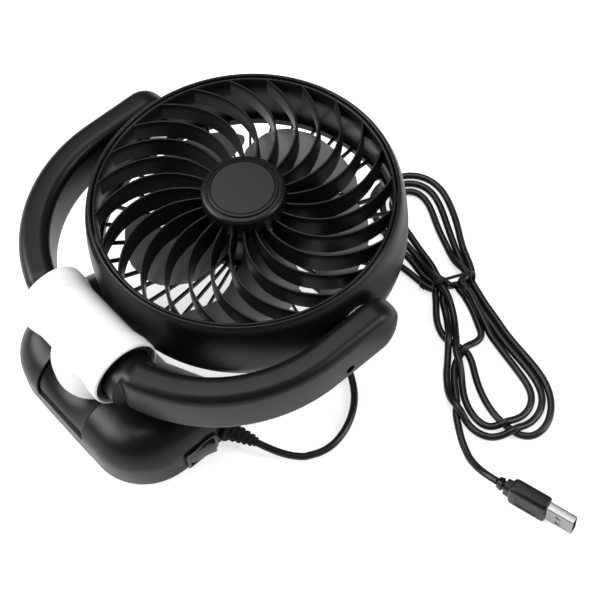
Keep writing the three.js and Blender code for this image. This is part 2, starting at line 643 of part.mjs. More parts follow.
const farCoil = [
  byTie(-1.3, TIE.half), [69, 112.9], [58, 119.6], [47.5, 127], [35.6, 133.5], [25, 137.1], [15, 136.9],
  [6, 132.8], [0.6, 125], [-2.2, 116], [-1.5, 107], [3.5, 98.7], [12, 92.8], [26, 89.6], [37, 89],
  [41, 87.6], [41, 82], [46.9, 82.4], [55.3, 83.2], byTie(-1.3, -TIE.half),
];
const nearCoil = [
  byTie(1.3, TIE.half), [84, 103.2], [99, 99.2], [116, 96.2], [132, 94.4], [146, 91.3], [157.5, 84],
  [164.4, 72.5], [163.4, 62], [158.5, 57.3], [152, 50], [149, 45.6], [142, 42.6], [131, 42.7],
  [119.5, 46.8], [108.5, 54.8], [96, 66.8], [88.5, 69.4], [79, 74.6], [72.5, 81.5],
  byTie(1.3, -TIE.half),
];

function tieBand() {
  const { half, top } = TIE;
  const frame = (grow) => roundedRect(2 * (half + grow), top - 1 + 2 * grow, 2 + grow, 3)
    .map(([x, z]) => new THREE.Vector2(x, z + top / 2 + 0.2));
  const shape = new THREE.Shape(frame(0.5));
  shape.holes.push(new THREE.Path(frame(-0.2).reverse()));
  const band = new THREE.ExtrudeGeometry(shape, { depth: 1.8, bevelEnabled: false });
  return band.translate(0, 0, -0.9).rotateX(PI / 2).rotateZ(PI / 2 + TIE.turn).translate(TIE.x, TIE.y, 0);
}

const plug = new THREE.Group();
plug.position.set(168.3, 31.8, 7.95);
plug.rotation.z = 14 * PI / 180;
model.add(plug);

function plugBody() {
  const stations = [
    [7.5, 6, 13], [8.6, 7.6, 15.1], [20, 8, 15.5], [26, 8, 15.5], [27, 7.2, 14.8],
  ];
  const body = loft(stations.map(([x, width, height]) =>
    roundedRect(width, height, 2, 3).map(([u, v]) => new THREE.Vector3(x, u, v))));
  const relief = loft([[GAP, 4.4, 6], [3, 5.2, 8], [3.2, 4, 5.6], [4.2, 4, 5.6], [4.4, 6, 9.4], [9, 6.4, 10]]
    .map(([x, width, height]) =>
      roundedRect(width, height, 1.6, 3).map(([u, v]) => new THREE.Vector3(x, u, v))));
  return join(body, relief);
}

const shellOuter = block(27.3, 41, -2.25, 2.25, -6, 6);
const shellBore = block(27, 42, -1.95, 1.95, -5.7, 5.7);
const shellWindows = [-2.8, 2.8].map((z) => block(32.4, 34.8, -5, 5, z - 1.2, z + 1.2));

piece(base, "cord_lead", tube(leadRoute, CORD_D, 8, 30), cordBlack);
piece(base, "cord_coil_far", slab(farCoil, 0.2, COIL_TOP), cordBlack);
piece(base, "cord_coil_near", slab(nearCoil, 0.2, COIL_TOP), cordBlack);
piece(base, "twist_tie", tieBand(), cordBlack);
piece(base, "cord_tail", tube(tailRoute, CORD_D, 8, 7), cordBlack);
piece(plug, "usb_plug_body", plugBody(), blackSatin);
piece(plug, "usb_shell", cut(shellOuter, shellBore, ...shellWindows), steel);
piece(plug, "usb_tongue", block(27.3, 40, -1.6, 0.2, -5.4, 5.4), white);

export default model;
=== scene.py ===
"""Looks of a small USB fan: a round grilled head tilting in a U-shaped yoke, on a white tee and a clamp base.

Lengths are in millimetres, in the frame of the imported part, and become metres as each object is made.
"""
import json
import math

import bmesh
import bpy
import numpy as np
from mathutils import Matrix, Vector, kdtree


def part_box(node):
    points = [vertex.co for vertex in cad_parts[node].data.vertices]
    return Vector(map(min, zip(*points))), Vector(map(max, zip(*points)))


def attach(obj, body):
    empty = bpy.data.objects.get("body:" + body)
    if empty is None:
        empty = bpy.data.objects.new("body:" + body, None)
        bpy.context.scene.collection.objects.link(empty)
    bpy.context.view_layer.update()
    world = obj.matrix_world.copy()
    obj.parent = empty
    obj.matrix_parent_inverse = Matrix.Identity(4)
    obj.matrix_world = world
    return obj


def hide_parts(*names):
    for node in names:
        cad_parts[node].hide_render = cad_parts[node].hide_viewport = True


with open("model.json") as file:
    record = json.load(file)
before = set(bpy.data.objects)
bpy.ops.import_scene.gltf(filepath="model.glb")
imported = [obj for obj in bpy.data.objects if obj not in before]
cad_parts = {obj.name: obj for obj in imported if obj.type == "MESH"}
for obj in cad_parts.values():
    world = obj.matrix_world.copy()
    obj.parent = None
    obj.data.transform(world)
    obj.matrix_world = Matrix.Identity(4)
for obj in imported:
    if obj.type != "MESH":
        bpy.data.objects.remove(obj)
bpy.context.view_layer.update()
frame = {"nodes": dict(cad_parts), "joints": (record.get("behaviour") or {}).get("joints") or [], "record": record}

MM = 0.001
TAU = 2 * math.pi
JOINTS = {joint["name"]: joint for joint in frame["joints"]}


def joint_point(name):
    return Vector(JOINTS[name]["pos_m"]) / MM


def node_box(name):
    low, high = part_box(name)
    return low / MM, high / MM


def node_middle(name):
    low, high = node_box(name)
    return (low + high) / 2


def linked(name, data):
    """A new object with that data, in the scene."""
    made = bpy.data.objects.new(name, data)
    bpy.context.scene.collection.objects.link(made)
    return made


HEAD = joint_point("head_tilt")          # middle of the head, on its tilt axis
TEE = joint_point("tee_swivel")          # middle of the tee's sleeve, on its swivel axis
SWITCH = joint_point("rocker_switch")

# ---------------------------------------------------------------- camera


def add_camera():
    """The view from the right, above the base, a little rolled."""
    azimuth, elevation, roll = (math.radians(x) for x in (53.7, 57.7, -5.9))
    distance = 751.3
    focal = 2.5475                       # focal length over the width of the picture
    centre = Vector((-0.087833, -0.133833))  # of the head: right of and below the picture's middle
    back = Vector((
        math.sin(azimuth) * math.cos(elevation), -math.cos(azimuth) * math.cos(elevation), math.sin(elevation),
    ))
    level = Vector((math.cos(azimuth), math.sin(azimuth), 0))
    rise = back.cross(level)
    right = level * math.cos(roll) + rise * math.sin(roll)
    up = rise * math.cos(roll) - level * math.sin(roll)
    offset = right * centre.x - up * centre.y
    place = HEAD + back * distance - offset * distance / focal
    data = bpy.data.cameras.new("camera")
    data.sensor_width = 36
    data.lens = 36 * focal
    data.clip_start, data.clip_end = 0.01, 50
    camera = linked("camera", data)
    axes = Matrix((right, up, back)).transposed().to_4x4()
    camera.matrix_world = Matrix.Translation(place * MM) @ axes
    bpy.context.scene.camera = camera


add_camera()

# ---------------------------------------------------------------- shapes
# A shape is (points, faces), in millimetres.


def lathe(profile, steps=96, ring=False):
    """A turned shape about Z from (radius, height) pairs. A ring's profile closes on itself."""
    points, faces, rows = [], [], []
    for radius, height in profile:
        count = 1 if radius < 1e-6 else steps
        rows.append(range(len(points), len(points) + count))
        for k in range(count):
            angle = TAU * k / steps
            points.append(Vector((radius * math.cos(angle), radius * math.sin(angle), height)))
    pairs = list(zip(rows, rows[1:])) + ([(rows[-1], rows[0])] if ring else [])
    for low, high in pairs:
        for k in range(steps):
            corners = [low[k % len(low)], low[(k + 1) % len(low)],
                       high[(k + 1) % len(high)], high[k % len(high)]]
            face = list(dict.fromkeys(corners))
            if len(face) > 2:
                faces.append(face)
    return points, faces


def loft(rings):
    """A closed skin over outlines that have the same number of points."""
    count = len(rings[0])
    points = [Vector(p) for ring in rings for p in ring]
    faces = []
    for i in range(len(rings) - 1):
        for j in range(count):
            a, b = i * count + j, i * count + (j + 1) % count
            faces.append([a, b, b + count, a + count])
    faces.append(list(range(count))[::-1])
    faces.append(list(range((len(rings) - 1) * count, len(rings) * count)))
    return points, faces


def rod(radius, low, high, steps=64):
    return lathe([(0, low), (radius, low), (radius, high), (0, high)], steps)


def box(low, high):
    (x0, y0, z0), (x1, y1, z1) = low, high
    return loft([[(x, y0, z0), (x, y1, z0), (x, y1, z1), (x, y0, z1)] for x in (x0, x1)])


def rounded_rect(width, height, radius, steps=6):
    """An outline of (across, up) points, with that many steps round each corner."""
    radius = min(radius, width / 2 - 0.01, height / 2 - 0.01)
    outline = []
    for corner in range(4):
        across = width / 2 - radius if corner in (0, 3) else radius - width / 2
        up = height / 2 - radius if corner < 2 else radius - height / 2
        for k in range(steps + 1):
            angle = (corner + k / steps) * TAU / 4
            outline.append((across + radius * math.cos(angle), up + radius * math.sin(angle)))
    return outline


def arc(centre, radius, start, end, steps):
    """Points (across, up) on an arc, its angles in degrees."""
    angles = [math.radians(start + (end - start) * k / steps) for k in range(steps + 1)]
    return [(centre[0] + radius * math.cos(a), centre[1] + radius * math.sin(a)) for a in angles]


def moved(shape, matrix):
    return [matrix @ p for p in shape[0]], shape[1]


def shifted(shape, offset):
    return moved(shape, Matrix.Translation(Vector(offset)))


def turned(shape, degrees, axis="Z"):
    return moved(shape, Matrix.Rotation(math.radians(degrees), 4, axis))


def mirrored(shape):
    return [Vector((-p.x, p.y, p.z)) for p in shape[0]], [face[::-1] for face in shape[1]]


def along_x(shape):
    """A shape about Z, laid along +X."""
    return turned(shape, 90, "Y")


def smooth_line(points, spacing):
    """Points about that far apart on a smooth curve through the given ones."""
    points = [Vector(p) for p in points]
    padded = [2 * points[0] - points[1], *points, 2 * points[-1] - points[-2]]
    line = []
    for a, b, c, d in zip(padded, padded[1:], padded[2:], padded[3:]):
        ka = 0.0
        kb = ka + math.sqrt((b - a).length)
        kc = kb + math.sqrt((c - b).length)
        kd = kc + math.sqrt((d - c).length)
        steps = max(2, round((c - b).length / spacing))
        for k in range(steps):
            t = kb + (kc - kb) * k / steps
            ab = a.lerp(b, (t - ka) / (kb - ka))
            bc = b.lerp(c, (t - kb) / (kc - kb))
            cd = c.lerp(d, (t - kc) / (kd - kc))
            early = ab.lerp(bc, (t - ka) / (kc - ka))
            late = bc.lerp(cd, (t - kb) / (kd - kb))
            line.append(early.lerp(late, (t - kb) / (kc - kb)))
    line.append(points[-1])
    return line


# ---------------------------------------------------------------- finishes

TONE_PATCH = 24                          # size of the patches in tone
GLOSS_PATCH = 7                          # size of the patches in gloss
GLOSS_SPREAD = 0.12


def finish(name, tone, roughness, grain=0.3, relief=0.03, mottle=0.12, metallic=0.0, specular=0.5,
           brushed=None):
    """A moulded or plated surface: fine grain in relief, and a slight variation of tone and gloss.

    grain is the size of the grain, and relief its depth. brushed is below 1 along an axis that stretches it.
    """
    material = bpy.data.materials.new(name)
    material.use_nodes = True
    nodes, links = material.node_tree.nodes, material.node_tree.links
    shader = nodes["Principled BSDF"]
    shader.inputs["Metallic"].default_value = metallic
    shader.inputs["Specular IOR Level"].default_value = specular
    place = nodes.new("ShaderNodeTexCoord")
    stretch = nodes.new("ShaderNodeMapping")
    stretch.inputs["Scale"].default_value = brushed or (1, 1, 1)
    links.new(place.outputs["Object"], stretch.inputs["Vector"])

    def noise(size, detail):
        node = nodes.new("ShaderNodeTexNoise")
        node.inputs["Scale"].default_value = 1 / (size * MM)
        node.inputs["Detail"].default_value = detail
        links.new(stretch.outputs["Vector"], node.inputs["Vector"])
        return node.outputs["Fac"]

    colour = nodes.new("ShaderNodeValToRGB")
    colour.color_ramp.elements[0].position = 0.3
    colour.color_ramp.elements[1].position = 0.7
    colour.color_ramp.elements[0].color = (*[c * (1 - mottle) for c in tone], 1)
    colour.color_ramp.elements[1].color = (*[min(1, c * (1 + mottle)) for c in tone], 1)
    links.new(noise(TONE_PATCH, 3), colour.inputs["Fac"])
    links.new(colour.outputs["Color"], shader.inputs["Base Color"])
    gloss = nodes.new("ShaderNodeMapRange")
    gloss.inputs["To Min"].default_value = roughness * (1 - GLOSS_SPREAD)
    gloss.inputs["To Max"].default_value = min(1.0, roughness * (1 + GLOSS_SPREAD))
    links.new(noise(GLOSS_PATCH, 4), gloss.inputs["Value"])
    links.new(gloss.outputs["Result"], shader.inputs["Roughness"])
    bump = nodes.new("ShaderNodeBump")
    bump.inputs["Strength"].default_value = 1.0
    bump.inputs["Distance"].default_value = relief * MM
    links.new(noise(grain, 2), bump.inputs["Height"])
    links.new(bump.outputs["Normal"], shader.inputs["Normal"])
    return material


BLACK = finish("satin_black_plastic", (0.0032, 0.0032, 0.0035), 0.36, grain=0.45, relief=0.012, specular=0.2)
BLACK_GLOSS = finish("gloss_black_plastic", (0.004, 0.004, 0.0043), 0.2, grain=1.5, relief=0.004, specular=0.35)
HUB = finish("matte_hub_disc", (0.013, 0.013, 0.0133), 0.6, grain=0.4, relief=0.02, mottle=0.06, specular=0.2)
WHITE = finish("gloss_white_plastic", (0.6, 0.6, 0.597), 0.24, grain=2.0, relief=0.004, mottle=0.01)
BLADE = finish("blade_grey_plastic", (0.1, 0.1, 0.103), 0.36, grain=0.5, relief=0.01, mottle=0.05)
STEEL = finish("plain_steel", (0.55, 0.55, 0.56), 0.32, grain=0.3, relief=0.004, metallic=1.0)
NICKEL = finish("nickel_plate", (0.24, 0.238, 0.232), 0.22, grain=0.25, relief=0.003, mottle=0.03, metallic=1.0,
                brushed=(0.12, 1, 1))
RUBBER = finish("black_rubber", (0.006, 0.006, 0.006), 0.75, grain=0.35, relief=0.03, specular=0.2)
NYLON = finish("natural_nylon", (0.62, 0.6, 0.55), 0.5, grain=0.6, relief=0.01, specular=0.4)
BOARD = finish("green_board", (0.02, 0.14, 0.06), 0.45, grain=0.5, relief=0.01, mottle=0.2)
CORD = finish("black_cord_sheath", (0.0045, 0.0045, 0.0048), 0.34, grain=0.8, relief=0.012, specular=0.32)
SLOTS = {
    "black_satin": BLACK, "black_gloss": BLACK_GLOSS, "hub_matte": HUB, "white_gloss": WHITE,
    "blade_grey": BLADE, "steel": STEEL, "usb_steel": NICKEL, "rubber": RUBBER, "nylon": NYLON,
    "board": BOARD, "cord_black": CORD,
}


def finish_cad_nodes():
    """Every node of the part gets its slot's finish, whether or not a detailed piece takes its place."""
    for part in frame["record"]["subparts"]:
        mesh = frame["nodes"][part["node"]].data
        mesh.materials.clear()
        mesh.materials.append(SLOTS[part["material_slot"]])
        mesh.polygons.foreach_set("material_index", [0] * len(mesh.polygons))


finish_cad_nodes()

# ---------------------------------------------------------------- making pieces


def bmesh_object(name, work):
    mesh = bpy.data.meshes.new(name)
    work.to_mesh(mesh)
    work.free()
    return linked(name, mesh)


def mesh_object(name, shapes):
    """One mesh object of several shapes, in metres."""
    work = bmesh.new()
    for points, faces in shapes:
        corners = [work.verts.new(p * MM) for p in points]
        for face in faces:
            work.faces.new([corners[i] for i in face])
    bmesh.ops.remove_doubles(work, verts=work.verts, dist=1e-7)
    bmesh.ops.recalc_face_normals(work, faces=work.faces)
    return bmesh_object(name, work)


def settle(made):
    """Turns an object's modifiers into mesh."""
    graph = bpy.context.evaluated_depsgraph_get()
    mesh = bpy.data.meshes.new_from_object(made.evaluated_get(graph))
    made.modifiers.clear()
    made.data = mesh


def combine(made, operation, *shapes):
    """Cuts shapes out of an object or joins them to it, one after another."""
    for shape in shapes:
        tool = mesh_object("tool", [shape])
        step = made.modifiers.new("combine", "BOOLEAN")
        step.operation = operation
        step.solver = "EXACT"
        step.object = tool
        settle(made)
        bpy.data.objects.remove(tool)


def build(name, body, slot, shapes, replaces=(), cut=(), add=(), bevel=0.0, sharp=32):
    """A piece that rides on a body in place of CAD nodes. bevel is in millimetres, sharp in degrees."""
    made = mesh_object(name, shapes)
    combine(made, "UNION", *add)
    combine(made, "DIFFERENCE", *cut)
    if bevel:
        edges = made.modifiers.new("bevel", "BEVEL")
        edges.width = bevel * MM
        edges.segments = 3
        edges.limit_method = "ANGLE"
        edges.angle_limit = math.radians(sharp)
        settle(made)
    dress(made, slot, sharp)
    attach(made, body)
    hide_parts(*replaces)
    return made


def dress(made, slot, sharp):
    made.data.materials.clear()
    made.data.materials.append(SLOTS[slot])
    made.data.shade_smooth()
    made.data.set_sharp_from_angle(angle=math.radians(sharp))


# ---------------------------------------------------------------- the head
# Heights are above the tilt axis.

RIM_R = 75.6
RIM_Z = 21.6
FAT_R = 79                               # fattest radius of the housing
WALL_R = 73.8
BACK_Z = -18
BACK_IN = 76                             # inside of the back opening
PIVOT_FLAT = 78.4                        # flats beside the two arms
PIVOT_R = 4.3                            # bore for the pins, in the head and in the arms
GRILLE_R = 73.4
HUB_R = 20.6
HUB_TOP = 27
DISC_R = 15.4
VANES = 24
VANE_SWEEP = math.radians(36)
VANE_CURVE = 1.8                         # how late in its length a vane takes its sweep
VANE_PHASE = 0.33                        # where the first vane starts, over the angle between two
VANE_FROM = HUB_R - 1.6                  # a vane's ends lie inside the hub and inside the ring
VANE_TO = GRILLE_R - 0.9
VANE_TOP = 20                            # height of its top edge and of its foot at the hub
VANE_TOP_RISE = 0.85                     # how much higher they are at the ring
VANE_FOOT = 6.5
VANE_FOOT_RISE = 4.1
BACK_BARS = 40
BLADES = 5
BLADE_ROOT_R = 16
BLADE_R = 61
BLADE_BEND_R = 43                        # where the leading edge of a blade is furthest round
BLADE_SWEEP_IN = 0.45                    # degrees that the edge turns for each millimetre inside that
BLADE_SWEEP_OUT = 1.05                   # and outside it
BLADE_TURN = 284.5                       # where one of the blades' leading edges is, in degrees
BLADE_HALF = 29                          # half of the angle that a blade spans, in degrees
BLADE_CORNER = 9                         # how far in from the tip its corners are rounded
BLADE_CORNER_TURN = 13                   # degrees that each edge draws in at the tip
BLADE_Z = -4.4                           # height of the middle of a blade
BLADE_PITCH = 5.2                        # how much higher its leading edge is than its middle
BLADE_CROWN = 1.6
BLADE_HALF_T = 0.68


def on_head(shape):
    return shifted(shape, HEAD)


def housing():
    wall = [(RIM_R + 0.8, RIM_Z - 1.9), (77.1, 17.6), (77.7, 14.5), (78.2, 10.5), (78.6, 6.5), (78.8, 2.5),
            (78.95, -0.5), (FAT_R, -3), (FAT_R, -6), (78.85, -8.5), (78.55, -11), (78.05, -13.2), (77.5, -15),
            (76.7, -17), (BACK_IN + 0.4, BACK_Z)]
    lip = arc((WALL_R + 0.9, RIM_Z - 0.9), 0.9, 180, 45, 6)
    inside = [(BACK_IN, BACK_Z), (BACK_IN, -9.6), (75.6, -6), (75, -2), (74.3, 4), (WALL_R, 9)]
    drum = lathe([*inside, *lip, (RIM_R + 0.1, RIM_Z - 0.75), *wall], 224, ring=True)
    boss = along_x(lathe([
        (0, 72.6), (9.4, 72.6), (10, 73.2), (10, PIVOT_FLAT - 0.02), (0, PIVOT_FLAT - 0.02),
    ], 72))
    bore = along_x(rod(PIVOT_R, -90, 90, 48))
    beyond = box((PIVOT_FLAT, -30, -30), (90, 30, 30))
    cuts = [on_head(shape) for shape in (beyond, mirrored(beyond), bore)]
    build("fan_drum", "head", "black_satin", [on_head(drum)], replaces=["fan_housing"],
          add=[on_head(boss), on_head(mirrored(boss))], cut=cuts, sharp=28)


def vane(turn):
    """A curved vane of the front grille, thin on its top edge, from the hub to the ring."""
    rings = []
    for k in range(25):
        s = k / 24
        radius = VANE_FROM + s * (VANE_TO - VANE_FROM)
        angle = turn + VANE_SWEEP * s ** VANE_CURVE
        lean = math.atan(radius * VANE_SWEEP * VANE_CURVE * s ** (VANE_CURVE - 1) / (GRILLE_R - HUB_R))
        top = VANE_TOP + VANE_TOP_RISE * s
        foot = VANE_FOOT + VANE_FOOT_RISE * s * s - top
        across = Vector((-math.sin(angle + lean), math.cos(angle + lean), 0))
        middle = Vector((radius * math.cos(angle), radius * math.sin(angle), 0))
        outline = [(0.82, foot), (0.68, -4), (0.56, -0.6), (0.36, -0.12), (0, 0)]
        outline += [(-a, b) for a, b in outline[-2::-1]]
        rings.append([middle + across * a + Vector((0, 0, top + b)) for a, b in outline])
    return loft(rings)


def front_grille():
    ring = lathe([
        (71.4, 10.8), (71.8, 10.6), (GRILLE_R, 10.6), (GRILLE_R, 20.2), *arc((72.6, 20.1), 0.8, 0, 180, 10),
        (71.3, 19.4),
    ], 224, ring=True)
    hub = lathe([
        (0, 13.4), (HUB_R - 1.6, 13.4), (HUB_R - 0.4, 14.2), (HUB_R, 15.4), (HUB_R, 23.2),
        *arc((HUB_R - 2.6, 23.6), 2.6, 0, 78, 9), (17.75, 26.2), (17.6, 25.7), (17.35, 25.7), (17.25, 26.3),
        (17.1, HUB_TOP - 0.35), (16.9, HUB_TOP - 0.2), (DISC_R + 0.45, HUB_TOP - 0.2),
        (DISC_R + 0.35, HUB_TOP - 0.4), (DISC_R + 0.35, 25), (0, 25),
    ], 144)
    vanes = [vane((k + VANE_PHASE) * TAU / VANES) for k in range(VANES)]
    build("front_guard", "head", "black_satin", [on_head(s) for s in (ring, hub, *vanes)],
          replaces=["front_grille"], sharp=40)
    disc = lathe([
        (0, 25.3), (DISC_R, 25.3), (DISC_R, 26.6), *arc((DISC_R - 0.5, 26.5), 0.5, 0, 90, 5), (0, 27.05),
    ], 128)
    build("hub_badge_disc", "head", "hub_matte", [on_head(disc)], replaces=["hub_disc"])


def rear_grille():
    rim = lathe([(73.6, -16.6), (BACK_IN - 0.4, -16.6), (BACK_IN - 0.4, -12.9), (75.3, -12.6), (73.9, -12.6),
                 (73.6, -12.9)], 200, ring=True)
    cup = lathe([(0, -17), (19.4, -17), (20, -16.4), (20, -11.6), (19.6, -11.2), (18.8, -11.2), (18.4, -11.6),
                 (18.4, -14.6), (0, -14.6)], 96)
    bar = loft([[(radius, a, b - 15.1) for a, b in rounded_rect(1.2, 3, 0.55, 3)] for radius in (19, 74.4)])
    bars = [turned(bar, (k + 0.5) * 360 / BACK_BARS) for k in range(BACK_BARS)]
    build("rear_guard", "head", "black_satin", [on_head(s) for s in (rim, cup, *bars)],
          replaces=["rear_grille"], sharp=30)


def blade(turn):
    """A wide blade, its leading edge turned to that angle and higher than its trailing edge."""
    rings = []
    for k in range(25):
        radius = BLADE_ROOT_R + k / 24 * (BLADE_R - BLADE_ROOT_R)
        beyond = radius - BLADE_BEND_R
        lead = turn - beyond * (BLADE_SWEEP_OUT if beyond > 0 else BLADE_SWEEP_IN)
        corner = max(0.0, (radius - BLADE_R + BLADE_CORNER) / BLADE_CORNER)
        half = BLADE_HALF - BLADE_CORNER_TURN * (1 - math.sqrt(1 - corner ** 2.2))
        top, bottom = [], []
        for j in range(15):
            t = j / 7 - 1
            angle = math.radians(lead - BLADE_HALF + t * half)
            reach = t * half / BLADE_HALF
            height = BLADE_Z + BLADE_PITCH * reach + BLADE_CROWN * (1 - reach * reach)
            thick = BLADE_HALF_T * math.sqrt(1 - 0.85 * t ** 4)
            spot = Vector((radius * math.cos(angle), radius * math.sin(angle), height))
            top.append(spot + Vector((0, 0, thick)))
            bottom.append(spot - Vector((0, 0, thick)))
        rings.append(top + bottom[::-1])
    return loft(rings)


def impeller():
    cap = lathe([
        (0, 4.2), (15.4, 4.2), (15.4, -10.6), (17.4, -10.6), (17.8, -10), (17.8, 6.2),
        *arc((15.8, 6.4), 2, 0, 60, 6), (13, 9.4), (0, 9.8),
    ], 96)
    blades = [blade(BLADE_TURN + k * 360 / BLADES) for k in range(BLADES)]
    build("impeller_blades", "impeller", "blade_grey", [on_head(s) for s in (cap, *blades)],
          replaces=["impeller"], sharp=40)


def motor():
    can = lathe([
        (0, -14.2), (13.6, -14.2), *arc((13.6, -13), 1.2, -90, 0, 5), (14.8, 1.4),
        *arc((13.6, 2.2), 1.2, 0, 90, 5), (3, 3.4), (3, -8), (0, -8),
    ], 96)
    build("motor_shell", "head", "steel", [on_head(can)], replaces=["motor_can"])


housing()
front_grille()
rear_grille()
impeller()
motor()

# ---------------------------------------------------------------- the yoke
# Its parts are placed from the tilt axis too; the bar lies on the tee's axis.

YOKE_IN = 79.6
YOKE_T = 15.3
YOKE_H = 28
YOKE_BEND_R = 75                         # radius of the arms' middle line where they bend to the bar
YOKE_EDGE_R = 5.4
ARM_ROOT = 35.5
ARM_END = 2.7
ARM_CAP_TURN = math.radians(87.5)        # how much of its quarter turn the rounded free end is drawn for
ARM_CAP_INSET = 3                        # how much thinner each side gets there
BAR_R = 13
BAR_Y = TEE.y - HEAD.y
ARM_X = YOKE_IN + YOKE_T / 2


def yoke_ring(x, y, heading, width, height, radius):
    across = Vector((math.cos(heading), math.sin(heading), 0))
    return [Vector((x, y, b)) + across * a for a, b in rounded_rect(width, height, radius, 9)]


def yoke_arm():
    """The free end is round from the side, and its outer corner is round from above."""
    rings = []
    for k in range(17):
        angle = ARM_CAP_TURN * (1 - k / 16)
        inset = ARM_CAP_INSET * (1 - math.cos(angle))
        y = ARM_END + YOKE_H / 2 * math.sin(angle)
        height = YOKE_H * math.cos(angle)
        rings.append(yoke_ring(ARM_X - inset, y, 0, YOKE_T - 2 * inset, height, YOKE_EDGE_R))
    middle_x = ARM_X - YOKE_BEND_R
    middle_y = BAR_Y + math.sqrt(YOKE_BEND_R ** 2 - (ARM_ROOT - middle_x) ** 2)
    sweep = math.acos((ARM_ROOT - middle_x) / YOKE_BEND_R)
    for k in range(41):
        angle = k / 40 * sweep
        x = middle_x + YOKE_BEND_R * math.cos(angle)
        y = middle_y - YOKE_BEND_R * math.sin(angle)
        rings.append(yoke_ring(x, y, -angle, YOKE_T, YOKE_H, YOKE_EDGE_R))
    rings.append(yoke_ring(ARM_ROOT - 1.2, BAR_Y, -1.46, YOKE_T - 1, YOKE_H - 0.8, YOKE_EDGE_R))
    rings.append(yoke_ring(ARM_ROOT - 3.2, BAR_Y, -TAU / 4, 2 * BAR_R - 0.1, 2 * BAR_R - 0.1, BAR_R))
    return loft(rings)


def yoke():
    arm = yoke_arm()
    bar = shifted(along_x(rod(BAR_R, 1 - ARM_ROOT, ARM_ROOT - 1, 96)), (0, BAR_Y, 0))
    hole = shifted(along_x(rod(2.4, 88, 99, 32)), (0, -18, -5))
    pivot = along_x(rod(PIVOT_R, YOKE_IN - 1, 91.2, 48))
    holes = [hole, mirrored(hole), pivot, mirrored(pivot)]
    build("yoke_arms", "yoke", "black_satin", [on_head(arm)], replaces=["yoke"],
          add=[on_head(mirrored(arm)), on_head(bar)], cut=[on_head(h) for h in holes], sharp=30)


yoke()

# ---------------------------------------------------------------- the tee

TEE_RIGHT = 28.3                         # ends of the sleeve, from the swivel axis
TEE_LEFT = 31.7
TEE_R = 16.5
FLANGE_R = 18.1
MOUTH_R = 16.3
TEE_BACK = 16.2                          # flat back of the branch
BRANCH_R = 21.5
BRANCH_Z = node_box("tee_sleeve")[0].z
STEM_HOLE_R = 14.4                       # round the post, in the tee and in the middle cover
TEE_VOXEL = 0.55                         # of the skin that the tee's fillet is grown in


def on_tee(shape):
    return shifted(shape, TEE)


def tee_end(end):
    """The profile of one end of the sleeve, from its open end inwards."""
    return [
        (0, end), (FLANGE_R - 0.9, end), *arc((FLANGE_R - 0.9, end - 0.9), 0.9, 90, 0, 4)[1:],
        (FLANGE_R - 0.1, end - 6.4), (FLANGE_R - 0.6, end - 8.4), (TEE_R + 0.7, end - 10.6),
        (TEE_R + 0.1, end - 12.6), (TEE_R, end - 15),
    ]


def tee():
    """The sleeve and its branch are grown together, so that the corner between them is a soft fillet."""
    left = [(radius, -x) for radius, x in tee_end(TEE_LEFT)]
    sleeve = along_x(lathe([*left, *tee_end(TEE_RIGHT)[::-1]], 128))
    drop = BRANCH_Z - TEE.z
    branch = lathe([(0, drop), *arc((BRANCH_R - 0.9, drop + 0.9), 0.9, -90, 0, 4), (BRANCH_R, -14.6),
                    (BRANCH_R - 0.9, -11), (BRANCH_R - 2.7, -7.6), (BRANCH_R - 5.2, -4.8), (0, -4)], 160)
    made = mesh_object("tee_skin", [on_tee(branch)])
    combine(made, "DIFFERENCE", on_tee(box((-40, TEE_BACK, -60), (40, 60, 60))))
    combine(made, "UNION", on_tee(sleeve))
    grown = made.modifiers.new("grow", "REMESH")
    grown.mode = "VOXEL"
    grown.voxel_size = TEE_VOXEL * MM
    melt = made.modifiers.new("melt", "SMOOTH")
    melt.factor = 0.5
    melt.iterations = 14
    settle(made)
    bore = along_x(rod(BAR_R + 0.3, -40, 40, 96))
    mouths = []
    for end in (TEE_RIGHT, TEE_LEFT):
        mouths.append(along_x(lathe([
            (0, end - 6.5), (MOUTH_R - 0.2, end - 6.5), (MOUTH_R, end - 6.2), (MOUTH_R, end - 1.2),
            (MOUTH_R + 0.9, end + 0.4), (0, end + 0.4),
        ], 128)))
    socket = rod(STEM_HOLE_R, drop - 1, -15.6, 96)
    groove = rod(15.3, -21.6, -18.6, 96)
    cuts = (bore, mouths[0], mirrored(mouths[1]), socket, groove)
    combine(made, "DIFFERENCE", *[on_tee(shape) for shape in cuts])
    dress(made, "white_gloss", 34)
    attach(made, "tee")
    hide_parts("tee_sleeve")
    for name, end in (("right", TEE_RIGHT - 1.2), ("left", TEE_LEFT - 1.2)):
        bush = along_x(lathe([(BAR_R + 0.4, end - 5), (MOUTH_R - 0.3, end - 5), (MOUTH_R - 0.3, end - 0.7),
                              (MOUTH_R - 0.9, end), (BAR_R + 1, end), (BAR_R + 0.4, end - 0.7)], 96, ring=True))
        bush = bush if name == "right" else mirrored(bush)
        build(f"tee_bush_ring_{name}", "tee", "rubber", [on_tee(bush)], replaces=[f"tee_bush_{name}"])


tee()

# ---------------------------------------------------------------- the base

